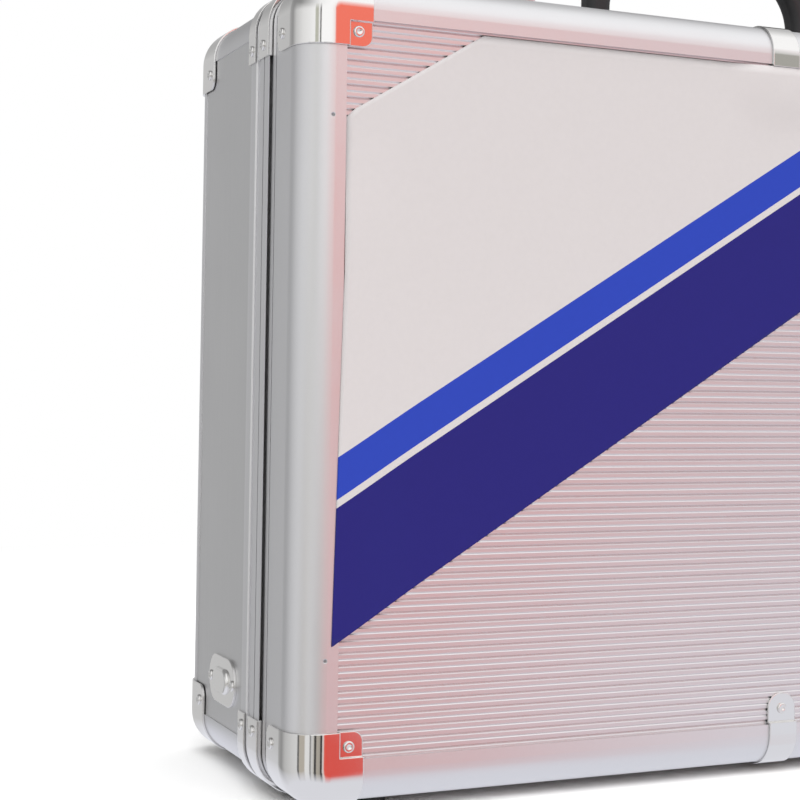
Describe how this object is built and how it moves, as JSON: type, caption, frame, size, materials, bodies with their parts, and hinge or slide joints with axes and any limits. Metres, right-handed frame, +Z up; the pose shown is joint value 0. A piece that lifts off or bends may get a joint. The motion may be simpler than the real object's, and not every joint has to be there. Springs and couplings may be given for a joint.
{
  "type": "aluminium tool case",
  "caption": "Upright aluminium tool case: hinged front lid on folding stays, top handle, hook latches, chromed corner caps, ribbed face boards and a foam-lined inside.",
  "frame": {"origin": "on the floor under the middle of the case", "axes": "+X along the width, -Y out of the lid's front, +Z up"},
  "size_m": [0.4612, 0.1538, 0.3915],
  "materials": {
    "frame_aluminium": "satin anodised extrusion",
    "ribbed_board": "ribbed satin facing on a thin board",
    "flat_board": "fine satin facing on a thin board",
    "chromed_fittings": "polished",
    "steel_fittings": "zinc plated",
    "handle_plastic": "moulded, slightly grained",
    "foot_plastic": "moulded",
    "foam_lining": "dense foam with a short nap",
    "tool_board": "grained sheet",
    "elastic_band": "woven elastic"
  },
  "bodies": {
    "base": {"base_rear_frame": "frame_aluminium", "base_rear_panel": "ribbed_board", "base_wall_left": "flat_board", "base_wall_right": "flat_board", "base_wall_top": "flat_board", "base_wall_bottom": "flat_board", "base_strip_top_left": "frame_aluminium", "base_strip_top_right": "frame_aluminium", "base_strip_bottom_left": "frame_aluminium", "base_strip_bottom_right": "frame_aluminium", "base_lip": "frame_aluminium", "base_cap_top_left": "chromed_fittings", "base_cap_top_right": "chromed_fittings", "base_cap_bottom_left": "chromed_fittings", "base_cap_bottom_right": "chromed_fittings", "base_lip_tabs": "chromed_fittings", "base_joint_straps": "chromed_fittings", "base_rivets": "chromed_fittings", "base_liner": "foam_lining", "stay_outer_plates": "chromed_fittings", "stay_base_brackets": "steel_fittings", "hinge_base_leaves": "steel_fittings", "hinge_pins": "steel_fittings", "handle_brackets": "chromed_fittings", "handle_pins": "chromed_fittings", "latch_base_plates": "chromed_fittings", "latch_pins": "chromed_fittings", "base_feet": "foot_plastic"},
    "lid": {"lid_frame": "frame_aluminium", "lid_front_panel": "ribbed_board", "lid_lip": "frame_aluminium", "lid_cap_top_left": "chromed_fittings", "lid_cap_top_right": "chromed_fittings", "lid_cap_bottom_left": "chromed_fittings", "lid_cap_bottom_right": "chromed_fittings", "lid_lip_tabs": "chromed_fittings", "lid_joint_straps": "chromed_fittings", "lid_rivets": "chromed_fittings", "lid_liner": "foam_lining", "tool_board": "tool_board", "tool_bands": "elastic_band", "latch_keepers": "chromed_fittings", "hinge_lid_leaves": "steel_fittings", "stay_lid_brackets": "steel_fittings", "lid_feet": "foot_plastic"},
    "handle": {"handle_grip": "handle_plastic"},
    "latch_left": {"latch_lever_left": "chromed_fittings"},
    "lock_left": {"latch_lock_left": "chromed_fittings"},
    "stay_base_left": {"stay_base_arm_left": "steel_fittings"},
    "stay_lid_left": {"stay_lid_arm_left": "steel_fittings"},
    "latch_right": {"latch_lever_right": "chromed_fittings"},
    "lock_right": {"latch_lock_right": "chromed_fittings"},
    "stay_base_right": {"stay_base_arm_right": "steel_fittings"},
    "stay_lid_right": {"stay_lid_arm_right": "steel_fittings"}
  },
  "joints": [
    {"name": "lid_hinge", "type": "hinge", "parent": "base", "child": "lid", "pos_m": [0, -0.0225, 0.0022], "axis": [1, 0, 0], "range_deg": [0, 95]},
    {"name": "handle_fold", "type": "hinge", "parent": "base", "child": "handle", "pos_m": [0, -0.0038, 0.3415], "axis": [1, 0, 0], "range_deg": [-82, 82]},
    {"name": "latch_left_pivot", "type": "hinge", "parent": "base", "child": "latch_left", "pos_m": [-0.12, -0.0045, 0.3379], "axis": [-1, 0, 0], "range_deg": [-6, 95]},
    {"name": "lock_left_turn", "type": "hinge", "parent": "latch_left", "child": "lock_left", "pos_m": [-0.12, -0.01544, 0.33905], "axis": [0, 0.1045, 0.9945], "range_deg": [0, 90]},
    {"name": "stay_base_left_pivot", "type": "hinge", "parent": "base", "child": "stay_base_left", "pos_m": [-0.22, 0.01788, 0.04], "axis": [1, 0, 0], "range_deg": [0, 95]},
    {"name": "stay_lid_left_pivot", "type": "hinge", "parent": "lid", "child": "stay_lid_left", "pos_m": [-0.22, -0.0425, 0.1035], "axis": [1, 0, 0], "range_deg": [-95, 0]},
    {"name": "latch_right_pivot", "type": "hinge", "parent": "base", "child": "latch_right", "pos_m": [0.12, -0.0045, 0.3379], "axis": [-1, 0, 0], "range_deg": [-6, 95]},
    {"name": "lock_right_turn", "type": "hinge", "parent": "latch_right", "child": "lock_right", "pos_m": [0.12, -0.01544, 0.33905], "axis": [0, 0.1045, 0.9945], "range_deg": [0, 90]},
    {"name": "stay_base_right_pivot", "type": "hinge", "parent": "base", "child": "stay_base_right", "pos_m": [0.22, 0.01788, 0.04], "axis": [1, 0, 0], "range_deg": [0, 95]},
    {"name": "stay_lid_right_pivot", "type": "hinge", "parent": "lid", "child": "stay_lid_right", "pos_m": [0.22, -0.0425, 0.1035], "axis": [1, 0, 0], "range_deg": [-95, 0]}
  ],
  "couplings": [
    {"joint": "stay_base_left_pivot", "follows": "lid_hinge", "ratio": 1},
    {"joint": "stay_lid_left_pivot", "follows": "lid_hinge", "ratio": -1},
    {"joint": "stay_base_right_pivot", "follows": "lid_hinge", "ratio": 1},
    {"joint": "stay_lid_right_pivot", "follows": "lid_hinge", "ratio": -1}
  ]
}
